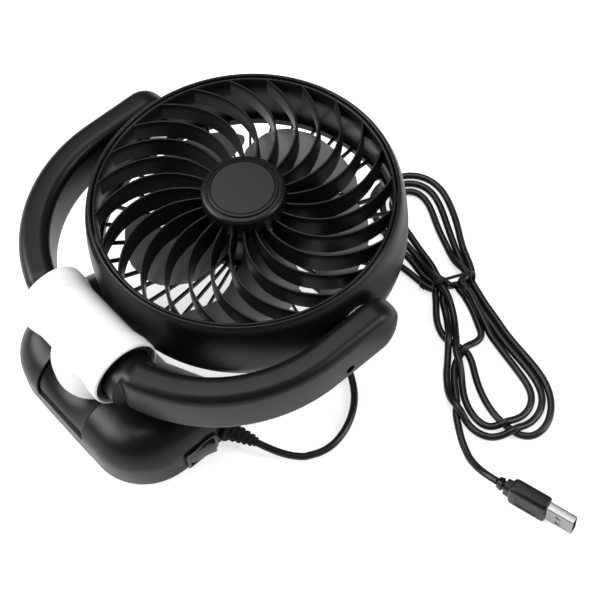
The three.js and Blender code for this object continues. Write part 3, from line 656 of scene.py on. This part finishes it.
BASE_X = 59.4                            # right end
CLAMP_X = 52                             # left end, with the clamp closed
SEAM_X = 18
FRONT_Y = node_box("base_body")[0].y
BACK_MID_Y = -44.3
BACK_END_Y = -33.5
SHOE_Z = node_box("base_body")[0].z
STRIP_Z = 12.6
SPRING_Z = 13.5
DOME_Z = 32.4
SADDLE_Z = 26.2
CORNER_R = 28.8
END_DOME_R = 18
REAR_CORNER_R = 5
GAP = 0.3                                # round the pieces that are let into the base
BOLT_HOLE_R = 2.9
SWITCH_IN = 53.2                         # floor of the switch's pocket
SWITCH_HALF_Y = 7.8                      # the switch's body, from the rocker's axis
SWITCH_HALF_Z = 4.8
ROCKER_R = 7.4
DOME_REACH = 19                          # how far in from the front and the back its top is rounded
BACK_SLOPE = 24                          # how far from the seam the back runs at a slant


def base_ring(x, front, back, top, foot):
    """The base cut across X: upright walls, then quarter ovals up to the top."""
    reach = min(DOME_REACH, (back - front) * 0.46)
    rise = max(top - SPRING_Z, 0.4)
    bevel = min(1, (SPRING_Z - foot) * 0.7)
    side = [(front + bevel, foot), (front + bevel * 0.3, foot + bevel * 0.3), (front, foot + bevel)]
    for k in range(15):
        angle = k / 14 * TAU / 4
        side.append((front + reach * (1 - math.cos(angle)), SPRING_Z + rise * math.sin(angle)))
    other = [(front + back - y, z) for y, z in side[::-1]]
    return [Vector((x, y, z)) for y, z in side + other]


def bulge(x, end, radius):
    """How far a corner of that radius, at the end of the base, has curved away once x is reached."""
    share = min(max((x - end + radius) / radius, 0), 1)
    return radius * (1 - math.sqrt(1 - share * share))


def end_block(end):
    stations = [SEAM_X + 0.31, SEAM_X + 0.7]
    stations += [SEAM_X + 1 + k * (end - CORNER_R - SEAM_X - 1) / 4 for k in range(4)]
    stations += [end - CORNER_R + CORNER_R * math.sin(k / 28 * TAU / 4) for k in range(29)]
    rings = []
    for x in stations:
        slope = min(max((x - SEAM_X) / BACK_SLOPE, 0), 1)
        front = FRONT_Y + bulge(x, end, CORNER_R)
        back = BACK_MID_Y + slope * (BACK_END_Y - BACK_MID_Y) - bulge(x, end, REAR_CORNER_R)
        top = DOME_Z - 0.88 * bulge(x, end, END_DOME_R)
        inset = 0.5 if x < SEAM_X + 0.4 else 0
        rings.append(base_ring(x, front + inset, back - inset, top - inset, SHOE_Z))
    return loft(rings)


def room_for(name):
    """A node's box with the gap round it."""
    low, high = node_box(name)
    gap = Vector((GAP, GAP, GAP))
    return low - gap, high + gap


RAIL = room_for("slide_rail")
COVER = room_for("bottom_cover")


def switch_block(left, right, half_y, half_z):
    return box((left, SWITCH.y - half_y, SWITCH.z - half_z), (right, SWITCH.y + half_y, SWITCH.z + half_z))


def pad_recess(node):
    low, high = node_box(node)
    middle = node_middle(node)
    return shifted(rod((high.x - low.x) / 2 + GAP, -1, 2.2, 48), (middle.x, middle.y, 0))


def base_housing():
    strip = box((-SEAM_X, FRONT_Y, SHOE_Z), (SEAM_X + 4, BACK_MID_Y, STRIP_Z))
    pocket = switch_block(SWITCH_IN - 2, BASE_X + 4, SWITCH_HALF_Y + 0.05, SWITCH_HALF_Z + 0.05)
    rail_way = box((-40, RAIL[0].y, RAIL[0].z), (RAIL[1].x, RAIL[1].y, RAIL[1].z))
    cover_seat = box((COVER[0].x, COVER[0].y, 0), (COVER[1].x, COVER[1].y, 4.2))
    hollow = box((COVER[0].x + 5.5, COVER[0].y + 5.5, 3), (COVER[1].x - 5.5, COVER[1].y - 5.5, 22))
    bolt_ways = [shifted(s, (0, TEE.y, 0)) for s in (rod(BOLT_HOLE_R, 0, 20, 40), rod(5.4, 0, 3.2, 48))]
    build("base_shell_right", "base", "black_satin", [end_block(BASE_X)], replaces=["base_body"], add=[strip],
          cut=[pocket, rail_way, cover_seat, hollow, *bolt_ways, pad_recess("base_pad_front"),
               pad_recess("base_pad_back")], sharp=24)
    track = box((RAIL[0].x, RAIL[0].y, RAIL[0].z), (-10, RAIL[1].y, RAIL[1].z))
    build("base_shell_left", "clamp", "black_satin", [mirrored(end_block(CLAMP_X))], replaces=["clamp_block"],
          cut=[track, pad_recess("clamp_pad_front"), pad_recess("clamp_pad_back")], sharp=24)
    rings = []
    for k in range(33):
        t = k / 16 - 1
        top = SADDLE_Z + (DOME_Z - 0.6 - SADDLE_Z) * t * t
        rings.append(base_ring(t * (SEAM_X - 0.5), FRONT_Y + 1.6, BACK_MID_Y - 0.6, top, STRIP_Z + 0.3))
    well = [shifted(s, (0, TEE.y, 0)) for s in (rod(STEM_HOLE_R, 0, 60, 96), rod(16.6, 0, 16.6, 96))]
    build("base_saddle", "base", "black_satin", [loft(rings)], replaces=["middle_cover"], cut=well, sharp=24)
    screw_ways = [shifted(rod(2.7, 0, 2.9, 32), (x, y, 0)) for x, y in screw_spots()]
    build("base_lid", "base", "black_satin", [box(*node_box("bottom_cover"))], replaces=["bottom_cover"],
          bevel=0.4, cut=screw_ways)


def screw_spots():
    return [node_middle(f"cover_screw_{k + 1}").xy for k in range(4)]


def swivel_post():
    post = lathe([
        (0, 13.2), (15.8, 13.2), (16.2, 13.6), (16.2, 15.8), (15.8, 16.2), (14, 16.2), (14, 34.8), (12.6, 35.2),
        (12.6, 38), (14, 38.4), (14, 39.6), (13, 40.6), (0, 40.6),
    ], 96)
    bore = rod(BOLT_HOLE_R, 0, 34, 40)
    build("swivel_stem", "base", "black_satin", [shifted(post, (0, TEE.y, 0))], replaces=["swivel_post"],
          cut=[shifted(bore, (0, TEE.y, 0))])


def cross_screw(node, body, tip, direction, head_r):
    """A pan-head screw with a cross recess, its head's top at tip, its shank along direction."""
    length = max(node_box(node)[1] - node_box(node)[0])
    head_h = head_r * 0.6
    shape = lathe([
        (0, 0), (head_r * 0.6, 0.05), (head_r * 0.9, head_h * 0.35), (head_r, head_h * 0.8), (head_r, head_h),
        (head_r * 0.5, head_h), (head_r * 0.5, length), (0, length),
    ], 48)
    slots = [box((-head_r * 0.6, -head_r * 0.12, -1), (head_r * 0.6, head_r * 0.12, head_h * 0.55)),
             box((-head_r * 0.12, -head_r * 0.6, -1), (head_r * 0.12, head_r * 0.6, head_h * 0.55))]
    place = Matrix.Translation(Vector(tip)) @ Vector(direction).to_track_quat("Z", "Y").to_matrix().to_4x4()
    build(f"{node}_cross", body, "steel", [moved(shape, place)], replaces=[node],
          cut=[moved(s, place) for s in slots])


def screws():
    for k, (x, y) in enumerate(screw_spots()):
        cross_screw(f"cover_screw_{k + 1}", "base", (x, y, node_box("cover_screw_1")[0].z), (0, 0, 1), 2.3)
    for k in range(3):
        node = f"motor_screw_{k + 1}"
        middle = node_middle(node)
        cross_screw(node, "head", (middle.x, middle.y, node_box(node)[0].z), (0, 0, 1), 2.6)
    for side, name in ((1, "right"), (-1, "left")):
        node = f"yoke_screw_{name}"
        middle = node_middle(node)
        tip = side * max(abs(corner.x) for corner in node_box(node))
        cross_screw(node, "yoke", (tip, middle.y, middle.z), (-side, 0, 0), 2)


def switch():
    front = node_box("switch_body")[1].x
    body = switch_block(51, BASE_X + 0.5, SWITCH_HALF_Y, SWITCH_HALF_Z)
    frame_outline = rounded_rect(19, 12.6, 1.6, 6)
    bezel = loft([[(x, SWITCH.y + a * s, SWITCH.z + b * s) for a, b in frame_outline]
                  for x, s in ((BASE_X + 0.3, 1), (front - 0.5, 1), (front - 0.15, 0.99), (front, 0.965))])
    pocket = switch_block(SWITCH_IN, front + 1, SWITCH_HALF_Y - 0.15, SWITCH_HALF_Z - 0.1)
    build("switch_case", "base", "black_gloss", [body], add=[bezel], cut=[pocket], replaces=["switch_body"],
          sharp=30)
    outline = [*arc((0, 0), ROCKER_R, 62, 138, 20), *arc((0, 0), ROCKER_R, -138, -86.2, 14), (1.5, 0.2)]
    paddle = loft([[(SWITCH.x + a, SWITCH.y + b, SWITCH.z + z) for a, b in outline] for z in (-4.5, 4.5)])
    build("switch_paddle", "rocker", "black_gloss", [paddle], replaces=["rocker"], bevel=0.35, sharp=26)


def pads():
    for node, body in (("base_pad_front", "base"), ("base_pad_back", "base"), ("clamp_pad_front", "clamp"),
                       ("clamp_pad_back", "clamp")):
        low, high = node_box(node)
        middle, radius = node_middle(node), (high.x - low.x) / 2
        disc = lathe([
            (0, 0.25), (radius * 0.5, 0.15), (radius - 1.0, 0), *arc((radius - 0.6, 0.6), 0.6, -90, 0, 5),
            (radius, high.z), (0, high.z),
        ], 64)
        build(f"{node}_dome", body, "rubber", [shifted(disc, (middle.x, middle.y, 0))], replaces=[node])


base_housing()
swivel_post()
screws()
switch()
pads()

# ---------------------------------------------------------------- the gland and the cord

CORD_R = 1.85
FLOOR_LINE = 2.0                         # height of the cord's middle where it lies on the desk
GLAND = Vector((BASE_X + 0.3, -44.3, 7.4))
GLAND_YAW = 22
GLAND_LEN = 15.8

LEAD = [
    (74.9, -38.4, 7.4), (79.5, -36.4, 6.7), (85, -33, 4.6), (90, -28.9, 2.7), (95, -23.4, FLOOR_LINE),
    (98.6, -15, FLOOR_LINE), (97.6, -3.5, FLOOR_LINE), (92.6, 7.6, FLOOR_LINE), (86, 15.4, FLOOR_LINE),
    (77.5, 21.2, FLOOR_LINE), (66, 26.4, FLOOR_LINE), (53, 32.5, FLOOR_LINE), (41.5, 42, FLOOR_LINE),
    (33, 53.5, FLOOR_LINE), (28.2, 65, FLOOR_LINE), (28.6, 75, FLOOR_LINE), (33.4, 81.6, FLOOR_LINE),
    (40.2, 84, FLOOR_LINE),
]
TAIL = [
    (133.5, 40.7, FLOOR_LINE), (140.7, 36, FLOOR_LINE), (148.3, 32.9, 2.6), (155.4, 31.4, 4.4), (162, 31, 6.8),
    (168, 31.7, 7.95),
]


def gland():
    collar = along_x(lathe([(0, 0), (5.4, 0), (5.8, 0.5), (5.8, 1.9), (5.4, 2.4), (4.8, 2.8), (0, 2.8)], 72))
    profile = [(0, 1.9), (4, 1.9)]
    for k in range(4):
        z = 3.2 + k * 3
        r = 4.6 - k * 0.5
        profile += [(r - 0.9, z), (r - 0.2, z), (r, z + 0.3), (r, z + 1.4), (r - 0.25, z + 1.7),
                    (r - 1, z + 1.8), (r - 1, z + 2.8)]
    profile += [(2.6, GLAND_LEN - 0.6), (2.3, GLAND_LEN), (0, GLAND_LEN)]
    sleeve = turned(along_x(lathe(profile, 64)), GLAND_YAW)
    build("cord_boot", "base", "rubber", [shifted(collar, GLAND)], add=[shifted(sleeve, GLAND)],
          replaces=["cord_gland"], sharp=30)


# The coil is three turns, tied across the middle into a near lobe and a far lobe. Each turn of a lobe
# lies inside the last one. One loose turn of the near lobe is on its own.
TIE = Vector((72.5, 96.5, 0))
TIE_TURN = math.radians(-25.1)           # direction of the bundle there
TIE_HALF = 11.3                          # half of the bundle's width in the tie
TIE_TOP = 10.2
# Where each turn passes through the tie: across the bundle, and its height.
TIE_SLOTS = [(-9.25, 2.0), (9.25, 2.0), (-5.55, 2.0), (5.55, 2.0), (-3.7, 5.3), (1.85, 2.0), (-1.85, 2.0)]
APPROACH = [(46.9, 84.9), (55.3, 85.7), (64.8, 85.8)]
LOOSE_TURN = [
    (73.7, 83.6), (79.9, 77), (88.9, 71.8), (99.1, 71.6), (106.5, 73.5), (116.7, 67.6), (127.1, 62.1),
    (140.8, 58.1), (150.8, 58.3), (160.1, 61.1), (162.2, 70.7), (155.8, 82.3), (145.3, 89), (131.6, 91.9),
    (115.9, 93.7), (98.3, 96.5), (82.4, 101.6),
]
NEAR_LOBE = [
    (72.8, 88.8), (82.3, 83), (97.5, 69), (109.9, 56.9), (120.5, 49.3), (131.7, 45.1), (142.1, 45),
    (148.6, 48.1), (152.3, 55.2), (155.2, 64), (155.3, 72.9), (151.5, 81), (143.6, 86.4), (130.3, 89.6),
    (113.1, 91.5), (95.3, 95.1), (81.4, 99.7),
]
FAR_LOBE = [
    (76.4, 105.4), (68.4, 110.4), (57.2, 117), (46.7, 124.5), (34.8, 130.8), (24.8, 134.6), (15.6, 134.6),
    (7.6, 131.1), (3.5, 125.9), (0, 118), (0, 109), (5, 101), (14, 96), (30, 92), (42.5, 92.1), (52.6, 91.9),
    (64.3, 90.7),
]
CURL = [
    (76.8, 98.5), (90, 94.8), (99.8, 92.9), (104.7, 89.5), (106.1, 82.4), (104, 76), (105.2, 67.8),
    (112, 58.4), (121.2, 50), (130.1, 43.3),
]
LOBE_STEP = 5.2                          # from one turn of a lobe to the next
LAY_STEP = 1.5                           # between the points that are laid down
LAY_ROUNDS = 160
LAY_FALL = 0.1                           # how far the cord falls in each round
LAY_RETURN = 0.97                        # share of its sideways shift that is left after each round
NEAR_EVERY = 8                           # rounds between two searches for cord that is near
NEAR_MARGIN = 1.5
GLAND_HELD = 26                          # length at each end that stays as it is given
PLUG_HELD = 22
WIRE_R = 0.45                            # the twist tie, and its twisted ends
WIRE_END_R = 0.42


def by_tie(along, across, height):
    """A point beside the tie: along the bundle, and across it."""
    cos, sin = math.cos(TIE_TURN), math.sin(TIE_TURN)
    return Vector((TIE.x + along * cos - across * sin, TIE.y + along * sin + across * cos, height))


def inner_turn(lobe, depth):
    """The lobe's outline drawn in by that depth, less and less towards its two ends at the tie."""
    turn = []
    last = len(lobe) - 1
    for k in range(last + 1):
        before, after = Vector(lobe[max(k - 1, 0)]), Vector(lobe[min(k + 1, last)])
        along = (after - before).normalized()
        fade = min(1, k / 3, (last - k) / 3)
        turn.append(Vector(lobe[k]) + Vector((-along.y, along.x)) * depth * fade)
    return turn


def cord_stretches():
    """The whole route as (points, height it is dropped from), in the order that the cord runs."""
    runs = [([Vector(p) for p in LEAD], 0), ([Vector((*p, FLOOR_LINE)) for p in APPROACH], 0)]
    turns = [(LOOSE_TURN, 0), (FAR_LOBE, 0), (NEAR_LOBE, 5), (inner_turn(FAR_LOBE, LOBE_STEP), 4),
             (inner_turn(NEAR_LOBE, LOBE_STEP), 7), (inner_turn(FAR_LOBE, 2 * LOBE_STEP), 8), (CURL, 2)]
    for (across, height), (turn, drop) in zip(TIE_SLOTS, turns):
        runs.append(([by_tie(0, across, height)], 0))
        runs.append(([Vector((p[0], p[1], FLOOR_LINE)) for p in turn], drop))
    runs.append(([Vector(p) for p in TAIL], 0))
    return runs


def softened(line, reach, rounds=1):
    """The line with each point moved to the mean of its neighbours, up to that many on each side."""
    for _ in range(rounds):
        padded = np.pad(line, ((reach, reach), (0, 0)), mode="edge")
        line = sum(padded[k:k + len(line)] for k in range(2 * reach + 1)) / (2 * reach + 1)
    return line


def contacts(line, apart):
    """Pairs of points of the cord, not close along it, that are near each other."""
    tree = kdtree.KDTree(len(line))
    for k, p in enumerate(line):
        tree.insert(p, k)
    tree.balance()
    return np.array([
        (k, other) for k, p in enumerate(line) for _, other, _ in tree.find_range(p, apart + NEAR_MARGIN)
        if other > k + 3 * apart / LAY_STEP
    ])


def push_apart(line, free, pairs, apart):
    between = line[pairs[:, 1]] - line[pairs[:, 0]]
    distance = np.maximum(np.linalg.norm(between, axis=1), 1e-6)
    push = np.maximum(apart - distance, 0)[:, None] * 0.5 * between / distance[:, None]
    shift = np.zeros_like(line)
    hits = np.zeros(len(line))
    for ends, sign in ((pairs[:, 0], -1), (pairs[:, 1], 1)):
        np.add.at(shift, ends, sign * push)
        np.add.at(hits, ends, distance < apart)
    line[free] += shift[free] / np.maximum(hits[free], 1)[:, None]


def lay_cord(stretches):
    """The cord's line once it has dropped: each part falls until it rests on the desk or on cord below it."""
    route, held = [], []
    for points, drop in stretches:
        for p in points:
            route.append(p + Vector((0, 0, drop)))
            held.append(len(points) == 1)
    line = np.array(smooth_line(route, LAY_STEP))
    fixed = np.zeros(len(line), bool)
    fixed[:round(GLAND_HELD / LAY_STEP)] = True
    fixed[-round(PLUG_HELD / LAY_STEP):] = True
    free = ~fixed
    line[free] = softened(line, 3, 2)[free]
    for spot, is_held in zip(route, held):
        if is_held:
            nearest = np.argmin(np.linalg.norm(line - np.array(spot), axis=1))
            fixed[nearest] = True
            line[nearest] = spot
    free = ~fixed
    line[free] = softened(line, 1, 2)[free]
    home = line.copy()
    apart = 2 * CORD_R + 0.05
    for turn in range(LAY_ROUNDS):
        if turn % NEAR_EVERY == 0:
            pairs = contacts(line, apart)
        line[free, 2] -= LAY_FALL
        offset = (line - home)[:, :2]
        line[free, :2] = (home[:, :2] + LAY_RETURN * softened(offset, 2))[free]
        line[free, 2] = softened(line, 2)[free, 2]
        for _ in range(3):
            push_apart(line, free, pairs, apart)
            line[:, 2] = np.maximum(line[:, 2], FLOOR_LINE)
    line[free] = softened(line, 1)[free]
    return [Vector(p) for p in line]


def curve_piece(name, line, radius, body, slot):
    """A round strand along a line of points."""
    data = bpy.data.curves.new(name, "CURVE")
    data.dimensions = "3D"
    data.bevel_depth = radius * MM
    data.bevel_resolution = 5
    data.use_fill_caps = True
    strand = data.splines.new("POLY")
    strand.points.add(len(line) - 1)
    for point, spot in zip(strand.points, line):
        point.co = (*(spot * MM), 1)
    data.materials.append(SLOTS[slot])
    made = linked(name, data)
    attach(made, body)
    return made


def line_length(line):
    return sum((b - a).length for a, b in zip(line, line[1:]))


def cord():
    line = lay_cord(cord_stretches())
    made = curve_piece("usb_cord", line, CORD_R, "base", "cord_black")
    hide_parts("cord_lead", "cord_coil_far", "cord_coil_near", "cord_tail")
    return made, line


def tie_wire():
    """A thin wire wound twice round the bundle, its ends twisted together at the left side."""
    lines = []
    loop = rounded_rect(2 * TIE_HALF - 0.2, TIE_TOP - 1.9, 2.4, 6)
    turns = 2
    steps = len(loop) * turns
    for k in range(steps + 1):
        across, up = loop[k % len(loop)]
        lines.append(by_tie(-0.9 + 1.8 * k / steps, across, up + TIE_TOP / 2 + 0.05))
    band = curve_mesh("wire", smooth_line(lines, 0.9), WIRE_R)
    ends = []
    for phase in (0, math.pi):
        spiral = []
        for k in range(41):
            s = k / 40
            angle = phase + s * TAU * 2.5
            along = -1 + 0.55 * math.cos(angle) - 5.5 * s
            across = -TIE_HALF - 0.8 - 4.5 * math.sin(s * 2.2)
            spiral.append(by_tie(along, across, 1.6 + 0.5 * math.sin(angle) + 1.6 * s))
        ends.append(curve_mesh("end", spiral, WIRE_END_R))
    loose = [by_tie(2.2, 4.6, 8.4), by_tie(5, 4.2, 8.2), by_tie(8.2, 3.2, 6.6), by_tie(11, 1.2, 4.6)]
    ends.append(curve_mesh("loose", smooth_line(loose, 0.8), WIRE_END_R))
    made = join_objects("twist_tie_wire", [band, *ends])
    made.data.materials.append(CORD)
    made.data.shade_smooth()
    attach(made, "base")
    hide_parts("twist_tie")
    return made


def curve_mesh(name, line, radius):
    """A strand as a mesh object, with no finish yet."""
    rings = []
    for k, spot in enumerate(line):
        along = (line[min(k + 1, len(line) - 1)] - line[max(k - 1, 0)]).normalized()
        if k == 0:
            side = along.orthogonal().normalized()
        side = (side - along * side.dot(along)).normalized()
        other = along.cross(side)
        rings.append([spot + (side * math.cos(a) + other * math.sin(a)) * radius
                      for a in (TAU * j / 12 for j in range(12))])
    return mesh_object(name, [loft(rings)])


def join_objects(name, parts):
    work = bmesh.new()
    for part in parts:
        work.from_mesh(part.data)
        bpy.data.objects.remove(part)
    return bmesh_object(name, work)


# ---------------------------------------------------------------- the plug
# Lengths along the plug are from where the cord enters it.

PLUG_PLACE = Matrix.Translation(Vector((168.3, 31.8, 7.95))) @ Matrix.Rotation(math.radians(14), 4, "Z")
PANEL_X = 17.5                           # middle of the sunk panel in each side
SHELL_IN = 27.3                          # where the metal shell and the tongue leave the moulding


def plug_ring(x, width, height, radius, steps=7):
    return [Vector((x, a, b)) for a, b in rounded_rect(width, height, radius, steps)]


def plug():
    at_plug = [moved(s, PLUG_PLACE) for s in plug_body()]
    panel = loft([[(x, y, b) for x, b in rounded_rect(11, 9, 1.5, 6)] for y in (3.78, 6)])
    panels = [moved(shifted(s, (PANEL_X, 0, 0)), PLUG_PLACE) for s in (panel, turned(panel, 180))]
    body = build("plug_shell_moulding", "base", "black_satin", at_plug[:1], add=at_plug[1:], cut=panels,
                 replaces=["usb_plug_body"], sharp=34)
    sleeve = plug_sleeve()
    tongue = box((SHELL_IN, -1.6, -5.4), (39.6, 0.2, 5.4))
    inner = build("plug_tongue", "base", "white_gloss", [moved(tongue, PLUG_PLACE)], replaces=["usb_tongue"],
                  bevel=0.2)
    return [body, sleeve, inner]


def plug_body():
    body = loft([
        plug_ring(x, width, height, 2.2)
        for x, width, height in ((7.5, 6, 13), (7.7, 6.8, 14), (8.3, 7.5, 15), (9.3, 7.9, 15.4), (14, 8, 15.5),
                                 (25.4, 8, 15.5), (26.3, 7.8, 15.3), (26.8, 7.3, 14.8), (27, 6.4, 13.9))
    ])
    relief = loft([
        plug_ring(x, width, height, 1.9)
        for x, width, height in ((0.3, 4.2, 5.8), (0.5, 4.6, 6.3), (2.9, 5.2, 7.8), (3.1, 4.8, 7.4),
                                 (3.3, 4, 5.6), (4.2, 4, 5.6), (4.4, 5.6, 8.8), (4.6, 6, 9.3), (9, 6.4, 10))
    ])
    return body, relief


def plug_sleeve():
    """The folded metal shell, with two windows in each wide face."""
    outer = [plug_ring(x, 4.5, 12, 0.6) for x in (SHELL_IN, 40.9)] + [plug_ring(41, 4.3, 11.8, 0.6)]
    bore = loft([plug_ring(x, 3.9, 11.4, 0.4) for x in (26, 42)])
    windows = [box((32.2, -5, z - 1.25), (34.7, 5, z + 1.25)) for z in (-2.8, 2.8)]
    return build("plug_metal_shell", "base", "usb_steel", [moved(loft(outer), PLUG_PLACE)],
                 cut=[moved(s, PLUG_PLACE) for s in (bore, *windows)], replaces=["usb_shell"], sharp=30)


gland()
strand, strand_line = cord()
round(line_length(strand_line) * MM, 3)
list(plug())
tie_wire()

# ---------------------------------------------------------------- floor and light

FLOOR_HALF = 4000
# Name, place and size in metres, power in watts.
LAMPS = [
    ("key_front_left", (-0.9, -0.95, 1.0), (1.2, 0.9), 42),
    ("overhead", (-0.35, 0.1, 1.7), (1.4, 1.4), 24),
    ("side_back_right", (1.0, 0.85, 0.8), (0.5, 1.0), 16),
]


def studio():
    corners = [Vector((x, y, 0)) * FLOOR_HALF for x, y in ((-1, -1), (1, -1), (1, 1), (-1, 1))]
    floor = mesh_object("studio_floor", [(corners, [[0, 1, 2, 3]])])
    paper = bpy.data.materials.new("studio_paper")
    paper.use_nodes = True
    shader = paper.node_tree.nodes["Principled BSDF"]
    shader.inputs["Base Color"].default_value = (0.5, 0.5, 0.5, 1)
    shader.inputs["Roughness"].default_value = 0.9
    shader.inputs["Specular IOR Level"].default_value = 0.1
    shader.inputs["Emission Color"].default_value = (1, 1, 1, 1)
    shader.inputs["Emission Strength"].default_value = 0.7
    floor.data.materials.append(paper)
    world = bpy.data.worlds.new("studio")
    bpy.context.scene.world = world
    world.use_nodes = True
    sky = world.node_tree.nodes["Background"]
    sky.inputs["Color"].default_value = (1, 1, 1, 1)
    sky.inputs["Strength"].default_value = 0.16
    bpy.context.scene.view_settings.view_transform = "Standard"
    for name, place, size, power in LAMPS:
        data = bpy.data.lights.new(name, "AREA")
        data.shape = "RECTANGLE"
        data.size, data.size_y = size
        data.energy = power
        lamp = linked(name, data)
        lamp.location = place
        lamp.rotation_euler = (HEAD * MM - Vector(place)).to_track_quat("-Z", "Y").to_euler()


studio()
